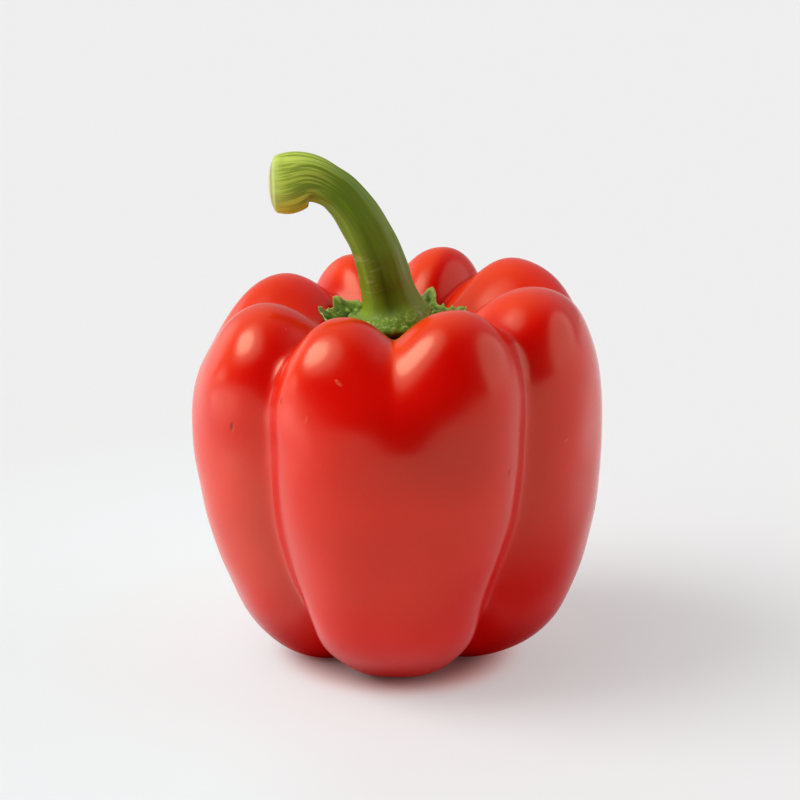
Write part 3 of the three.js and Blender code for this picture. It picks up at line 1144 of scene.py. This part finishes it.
@dataclass(frozen=True)
class StemFinish:
    """Fleshy green stem: olive low down, yellow-green at its flared end, with fine fibres.

    Places along the stem are shares from 0 at its foot to 1 at its cut end.
    """

    olive: Colour = (0.125, 0.230, 0.012)
    shade: Colour = (0.046, 0.086, 0.002)
    grey: Colour = (0.22, 0.30, 0.035)
    lime: Colour = (0.25, 0.41, 0.016)
    bright: Colour = (0.62, 0.74, 0.10)
    pale: Colour = (0.74, 0.84, 0.36)
    ochre: Colour = (0.62, 0.52, 0.020)
    collar: Colour = (0.17, 0.31, 0.020)
    cut: Colour = (0.60, 0.58, 0.28)
    bark: Colour = (0.30, 0.22, 0.09)
    foot: tuple[float, float] = (0.19, 0.10)
    flare_from: tuple[float, float] = (0.66, 0.88)
    worn_at: tuple[float, float] = (0.40, 0.14)
    roughness: tuple[float, float] = (0.38, 0.50)
    fibre_depth: float = 0.16
    mottle_depth: float = 0.04

    def shank(
        self, f: Finish, along: Feed, fibre: Feed, streaks: Feed
    ) -> bpy.types.NodeSocket:
        """Colours the shank: lime on its inner side, grey on its outer one, painted shade low in
        front.

        Args:
            f: The finish that is being built.
            along: The share along the stem.
            fibre: The place among the fibres.
            streaks: Broad streaks along the fibres.

        Returns:
            The colour.
        """
        inner = f.paint("inner")
        colour = f.mix(f.remap(streaks, 0.35, 0.65), self.olive, self.lime)
        colour = f.mix(f.times(f.paint("outer"), 0.85), colour, self.grey)
        colour = f.mix(f.times(inner, 0.6), colour, self.lime)
        # Painted shade: the front of the shank is darker low down.
        band = f.times(f.paint("front"), f.remap(along, 0.54, 0.28, 0.0, 0.85))
        colour = f.mix(band, colour, self.shade)
        # Painted highlight: paler grey along the crests of the ribs.
        edge = f.times(f.remap(f.paint("ridge"), 0.72, 1.0), 0.45)
        colour = f.mix(edge, colour, self.grey)
        rings = f.noise(f.stretch(fibre, (0.9, 0.9, 9.0)), 1.0, 2.0, 0.6)
        worn = f.times(inner, f.times(f.hump(along, *self.worn_at), 0.45))
        return f.mix(f.times(worn, f.remap(rings, 0.52, 0.68)), colour, self.pale)

    def flare(
        self, f: Finish, along: Feed, threads: Feed, colour: Feed
    ) -> bpy.types.NodeSocket:
        """Brightens the flared end, darkens its fibres, and ends it in a thin rim of bark.

        Args:
            f: The finish that is being built.
            along: The share along the stem.
            threads: The fine fibres.
            colour: The shank's colour.

        Returns:
            The new colour.
        """
        under = f.paint("under")
        colour = f.mix(f.remap(along, *self.flare_from), colour, self.bright)
        colour = f.mix(f.times(under, f.remap(along, 0.74, 0.9)), colour, self.ochre)
        crisp = f.times(f.remap(threads, 0.56, 0.42), f.remap(along, 0.45, 0.80, 0.2, 0.75))
        crisp = f.times(crisp, f.remap(along, 1.0, 0.84, 0.15, 1.0))
        colour = f.mix(crisp, colour, self.olive)
        open_side = f.remap(under, 0.0, 0.5, 0.3, 0.0)
        light = f.times(f.remap(along, 0.93, 0.99), open_side)
        colour = f.mix(light, colour, self.pale)
        return f.mix(f.remap(along, 0.98, 1.0, 0.0, 0.75), colour, self.bark)

    def material(self) -> bpy.types.Material:
        """Makes the stem's skin and its cut end.

        Returns:
            The material.
        """
        f = Finish("stem_flesh")
        place = f.place()
        fibre = f.paint("fibre", vector=True)
        along = f.paint("along")
        threads = f.noise(f.stretch(fibre, (10.0, 10.0, 0.7)), 1.0, 3.0, 0.55)
        streaks = f.noise(f.stretch(fibre, (2.6, 2.6, 0.5)), 1.0, 2.0, 0.5)
        mottle = f.noise(place, 260.0, 4.0, 0.6)
        colour = self.flare(f, along, threads, self.shank(f, along, fibre, streaks))

        foot = f.remap(along, *self.foot)
        ribbing = f.remap(streaks, 0.35, 0.6, 0.35, 1.0)
        colour = f.mix(f.times(foot, ribbing), colour, self.collar)
        specks = f.remap(f.noise(place, 1500.0, 3.0, 0.6), 0.48, 0.70, 0.0, 0.42)
        colour = f.mix(f.times(foot, specks), colour, self.pale)
        colour = f.mix(f.remap(mottle, 0.45, 0.75, 0.0, 0.16), colour, self.grey)
        radius = f.paint("radius")
        pith = f.mix(f.remap(radius, 0.25, 0.75), self.pale, self.cut)
        pith = f.mix(f.remap(radius, 0.86, 0.97), pith, self.bark)
        colour = f.mix(f.paint("face"), colour, pith)

        fine = f.times(threads, f.remap(along, 0.4, 0.8, 0.35, 1.0))
        f.set(
            Base_Color=colour,
            Roughness=f.remap(mottle, 0.3, 0.7, *self.roughness),
            Normal=f.bump(mottle, self.mottle_depth, f.bump(fine, self.fibre_depth)),
            Specular_IOR_Level=0.18,
            Subsurface_Weight=0.10,
            Subsurface_Radius=(0.5, 0.7, 0.1),
            Subsurface_Scale=1.2 * MM,
        )
        return f.material


@dataclass
class Stem:
    """The curved stem: a flared foot on the calyx, a ribbed shank and a flared, cut end.

    Shares run along the stem from 0 at its foot to 1 at its cut end, and rows count its joints.
    """

    line: tuple[Joint, ...] = (
        Joint(-0.9, 73.5, 17.0),
        Joint(-0.9, 74.8, 15.2),
        Joint(-1.2, 76.5, 12.4),
        Joint(-1.8, 79.0, 10.8),
        Joint(-2.7, 82.6, 10.2),
        Joint(-4.1, 87.2, 9.8),
        Joint(-6.8, 93.0, 8.9),
        Joint(-10.6, 98.6, 8.4),
        Joint(-14.2, 101.4, 8.4),
        Joint(-18.0, 102.7, 9.9),
        Joint(-21.9, 101.8, 12.0),
        Joint(-25.4, 101.4, 11.2),
    )
    ribs: tuple[Rib, ...] = (
        Rib(-38.0, 20.0, 0.50),
        Rib(34.0, 17.0, 0.60),
        Rib(92.0, 24.0, 0.50),
        Rib(150.0, 22.0, 0.45),
        Rib(206.0, 24.0, 0.50),
        Rib(264.0, 22.0, 0.45),
    )
    sides: tuple[Side, ...] = (
        Side("front", 2.0, 26.0),
        Side("inner", 300.0, 44.0),
        Side("outer", 62.0, 40.0),
        Side("under", 270.0, 42.0),
    )
    finish: StemFinish = StemFinish()
    twist: float = 20.0
    cut_bulge: float = 0.7
    cut_round: float = 1.3
    cut_from: float = 0.97
    upright_rows: tuple[float, float] = (1.2, 0.2)
    ridge_width: float = 0.6
    rib_start: tuple[float, float] = (0.0, 0.1)
    rib_fade: tuple[float, float] = (0.8, 1.0)
    rib_loss: float = 0.45
    fibre_length: float = 6.0
    thread_depth: float = 0.05
    thread_stretch: tuple[float, float, float] = (1.0, 1.0, 0.12)
    knot_depth: float = 0.08
    knot_stretch: tuple[float, float, float] = (5.0, 5.0, 8.0)
    chin: Rib = Rib(270.0, 60.0, 0.15)
    chin_share: tuple[float, float] = (0.86, 0.09)
    rings: int = 250
    cut_rings: int = 14
    columns: int = 192
    threads: Waves = field(default_factory=lambda: Waves(31, 0.34, 24))
    knots: Waves = field(default_factory=lambda: Waves(47, 6.0))

    def __post_init__(self) -> None:
        """Fits the curves through the stem's middle line."""
        self.xs = Spline([j.x for j in self.line])
        self.zs = Spline([j.z for j in self.line])
        self.widths = Spline([j.width for j in self.line])

    def build(self) -> bpy.types.Object:
        """Makes the stem over its CAD solid and dresses it.

        Returns:
            The piece.
        """
        last = len(self.line) - 1
        angle = np.arange(self.columns) / self.columns * 360.0
        along = np.linspace(1.0, 0.0, self.rings)
        cut_share = (np.arange(self.cut_rings) + 1.0) / (self.cut_rings + 1.0)
        places = np.concatenate([np.full(self.cut_rings, 1.0), along]) * last
        fill = np.concatenate([cut_share, np.ones(self.rings)])[:, None]
        is_cut = (np.arange(len(places)) < self.cut_rings)[:, None]

        step_x, step_z = self.xs.slope(places), self.zs.slope(places)
        upright = ease(*self.upright_rows, places)
        step_x = step_x * (1.0 - upright)
        length = np.hypot(step_x, step_z)
        way = np.stack([step_x / length, np.zeros_like(places), step_z / length], axis=-1)
        side = np.stack([way[:, 2], np.zeros_like(places), -way[:, 0]], axis=-1)
        front = np.array([0.0, -1.0, 0.0])

        share = (places / last)[:, None]
        turned = angle[None, :] - self.twist * share
        # ridge marks the crests of the ribs, which get a painted highlight in the finish.
        ridge = np.zeros_like(turned)
        relief = np.zeros_like(turned)
        for rib in self.ribs:
            away = turn_away(turned, rib.angle)
            ridge = np.maximum(ridge, hill(away, 0.0, rib.width * self.ridge_width))
            relief += rib.height * hill(away, 0.0, rib.width)
        turn = np.radians(angle)
        lengthwise = share * self.fibre_length
        fibre = np.stack(np.broadcast_arrays(np.cos(turn), np.sin(turn), lengthwise), axis=-1)
        relief = relief - relief.mean(1, keepdims=True)
        relief = relief * (1.0 - self.rib_loss * ease(*self.rib_fade, share))
        relief = relief * ease(*self.rib_start, share)
        relief = relief + self.thread_depth * self.threads.at(fibre * self.thread_stretch)
        relief = relief + self.knot_depth * self.knots.at(fibre * self.knot_stretch)
        chin = hill(angle, self.chin.angle, self.chin.width) * hill(share, *self.chin_share)
        radius = self.widths.at(places)[:, None] / 2.0 + relief + self.chin.height * chin
        drop = 1.0 - ease(1.0, self.cut_from, share)
        rounded = np.sqrt(np.clip(1.0 - drop**2, 0.0, 1.0))
        radius = radius - self.cut_round * (1.0 - rounded)
        radius = np.where(is_cut, radius[self.cut_rings][None, :] * fill, radius)

        centre = np.stack([self.xs.at(places), np.zeros_like(places), self.zs.at(places)], axis=-1)
        points = centre[:, None, :] + radius[..., None] * (
            np.sin(turn)[None, :, None] * side[:, None, :] + np.cos(turn)[None, :, None] * front
        )
        dome = self.cut_bulge * (1.0 - fill**2) * is_cut
        points += dome[..., None] * way[:, None, :]
        tip = centre[0] + self.cut_bulge * way[0]
        foot = centre[-1]
        ones = np.ones_like(radius)
        sides = {
            side.name: hill(turn_away(angle, side.angle), 0.0, side.width) * ones
            for side in self.sides
        }
        piece = closed_skin(
            "ribbed_stem",
            tip,
            points,
            foot,
            along=share * ones,
            ridge=ridge * ones,
            **sides,
            radius=fill * ones,
            face=is_cut * ones,
            fibre=fibre,
        )
        piece.data.materials.append(self.finish.material())
        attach(piece, BODY)
        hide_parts("stem")
        return piece


# ---- the studio ---------------------------------------------------------------------------------


@dataclass(frozen=True)
class Panel:
    """A soft patch of light in the dome: where it is, how wide it is, and how bright.

    It is full within inner degrees of its middle and gone outer degrees away from it.
    """

    azimuth: float
    elevation: float
    inner: float
    outer: float
    radiance: float


@dataclass
class Studio:
    """A pale table under a soft dome, a key light high on the left, and the camera.

    The table glows evenly away from the pepper. Close to the pepper its glow fades, and a ring
    of it is red from the skin; on the left it is a little cooler. A bright patch of the table,
    farther to the left, stands for a card and gives the left flank its low sheen.
    """

    table_size_m: tuple[float, float] = (6.0, 4.0)
    table_front_m: float = -0.55
    table_colour: Colour = (0.46, 0.46, 0.46)
    fill: Colour = (1.04, 1.15, 1.15)
    red_bounce: Colour = (0.90, 0.40, 0.36)
    table_glow: float = 0.415
    shadow_glow: float = 0.05
    glow_from: tuple[float, float] = (15.0, 26.0)
    bounce_until: tuple[float, float] = (17.0, 29.0)
    fill_around: tuple[float, float] = (180.0, 80.0)
    fill_side: tuple[float, float] = (0.0, -40.0)
    card_place_m: tuple[float, float, float] = (-0.32, -0.04, 0.0)
    card_edge: tuple[float, float] = (170.0, 100.0)
    card_glow: float = 1.0
    dome: float = 0.16
    panels: tuple[Panel, ...] = (
        Panel(288.0, 50.0, 20.0, 37.0, 1.95),
        Panel(92.0, 20.0, 26.0, 34.0, 1.4),
        Panel(180.0, 20.0, 40.0, 80.0, 0.35),
        Panel(262.0, -8.0, 10.0, 20.0, 1.9),
        Panel(226.0, 8.0, 8.0, 22.0, 0.9),
    )
    dark_front: Panel = Panel(0.0, 25.0, 30.0, 75.0, 0.0)
    key_azimuth: float = 278.0
    key_elevation: float = 45.0
    key_strength: float = 1.65
    key_angle: float = 38.0
    key_distance_m: float = 0.8
    camera_elevation: float = 18.0
    camera_distance: float = 520.0
    camera_aim: tuple[float, float, float] = (0.0, 0.0, 49.2)
    picture_centre: tuple[float, float, float] = (0.55, 0.0, 55.7)
    field_degrees: float = 18.26
    nearest_m: float = 0.01

    @staticmethod
    def direction(azimuth: float, elevation: float) -> Vector:
        """Points at a place in the dome.

        Args:
            azimuth: Degrees round from the front.
            elevation: Degrees above the table.

        Returns:
            The unit vector towards it.
        """
        level = math.cos(math.radians(elevation))
        turn = math.radians(azimuth)
        return Vector(
            (level * math.sin(turn), -level * math.cos(turn), math.sin(math.radians(elevation)))
        )

    def build_table(self) -> bpy.types.Object:
        """Makes the pale table, with its glow.

        Returns:
            The table.
        """
        width, depth = self.table_size_m
        left, right = -width / 2, width / 2
        front, back = self.table_front_m, self.table_front_m + depth
        corners = [(left, front, 0), (right, front, 0), (right, back, 0), (left, back, 0)]
        mesh = bpy.data.meshes.new("table")
        mesh.from_pydata(corners, [], [(0, 1, 2, 3)])
        table = bpy.data.objects.new("table", mesh)
        bpy.context.scene.collection.objects.link(table)
        f = Finish("pale_table")
        place = f.place()
        level = f.stretch(place, (1.0, 1.0, 0.0))
        away = f.length(level)
        shade = f.zone(away, self.glow_from, self.shadow_glow, self.table_glow)
        beside = f.zone(f.split(place)[0], self.fill_side)
        beside = f.times(beside, f.zone(away, self.fill_around))
        glow = f.mix(beside, (1.0, 1.0, 1.0), self.fill)
        glow = f.mix(f.zone(away, self.bounce_until), self.red_bounce, glow)
        feeds = {0: level, 1: self.card_place_m}
        from_card = f.node("VectorMath", feeds, operation="DISTANCE").outputs["Value"]
        card = f.zone(from_card, self.card_edge, 0.0, self.card_glow)
        f.set(
            Base_Color=self.table_colour,
            Roughness=0.9,
            Specular_IOR_Level=0.1,
            Emission_Color=glow,
            Emission_Strength=f.maths("ADD", shade, card),
            Normal=f.bump(f.noise(place, 900.0, 2.0), 0.02),
        )
        mesh.materials.append(f.material)
        return table

    def seen(self, nodes: Nodes, way: Feed, panel: Panel) -> bpy.types.NodeSocket:
        """Finds how much of a panel is seen in a direction.

        Args:
            nodes: The world's nodes.
            way: The direction.
            panel: The panel.

        Returns:
            1 within the panel's inner edge, fading to 0 at its outer one.
        """
        feeds = {0: way, 1: self.direction(panel.azimuth, panel.elevation)}
        cosine = nodes.node("VectorMath", feeds, operation="DOT_PRODUCT").outputs["Value"]
        inner, outer = (math.cos(math.radians(edge)) for edge in (panel.inner, panel.outer))
        return nodes.remap(cosine, outer, inner)

    def build_dome(self) -> None:
        """Makes the world: a dim dome with soft patches of light."""
        world = bpy.data.worlds.new("studio_dome")
        bpy.context.scene.world = world
        world.use_nodes = True
        nodes = Nodes(world.node_tree)
        way = nodes.node("TexCoord", {}).outputs["Generated"]
        lid = nodes.maths("MULTIPLY", self.seen(nodes, way, self.dark_front), -self.dome)
        total = nodes.maths("ADD", lid, self.dome)
        for panel in self.panels:
            seen = self.seen(nodes, way, panel)
            total = nodes.maths("MULTIPLY_ADD", seen, panel.radiance, total)
        background = nodes.node("Background", {"Strength": total})
        nodes.node("OutputWorld", {"Surface": background.outputs[0]})

    def build_key(self) -> bpy.types.Object:
        """Makes the key light, a wide soft source high on the left.

        Returns:
            The lamp.
        """
        lamp = bpy.data.lights.new("key_softbox", "SUN")
        lamp.energy = self.key_strength
        lamp.angle = math.radians(self.key_angle)
        key = bpy.data.objects.new("key_softbox", lamp)
        way = self.direction(self.key_azimuth, self.key_elevation)
        key.rotation_euler = way.to_track_quat("Z", "Y").to_euler()
        key.location = way * self.key_distance_m
        bpy.context.scene.collection.objects.link(key)
        return key

    def build_camera(self) -> bpy.types.Object:
        """Makes the camera a little above the pepper, in front of it.

        Returns:
            The camera.
        """
        lens = bpy.data.cameras.new("camera")
        lens.sensor_fit = "HORIZONTAL"
        lens.angle = math.radians(self.field_degrees)
        lens.clip_start = self.nearest_m
        camera = bpy.data.objects.new("camera", lens)
        back = self.direction(0.0, self.camera_elevation) * self.camera_distance
        place = (Vector(self.camera_aim) + back) * MM
        sight = place - Vector(self.picture_centre) * MM
        camera.location = place
        camera.rotation_euler = sight.to_track_quat("Z", "Y").to_euler()
        bpy.context.scene.collection.objects.link(camera)
        bpy.context.scene.camera = camera
        return camera

    def build(self) -> None:
        """Sets up the whole studio."""
        self.build_table()
        self.build_dome()
        self.build_key()
        self.build_camera()
        bpy.context.scene.view_settings.view_transform = "Standard"


# ---- putting it together ------------------------------------------------------------------------


def main() -> None:
    """Builds the studio and the pepper, piece by piece."""
    logging.basicConfig(level=logging.INFO, format="%(name)s: %(message)s")
    Studio().build()
    log.info("studio: table, dome, key light and camera")
    fruit = Fruit()
    pieces = [fruit.build(), Calyx().build(fruit), Stem().build()]
    for piece in pieces:
        size = ", ".join(f"{side / MM:.1f}" for side in piece.dimensions)
        log.info("%s: %d faces, %s mm", piece.name, len(piece.data.polygons), size)
    bpy.context.view_layer.update()


if __name__ == "__main__":
    main()
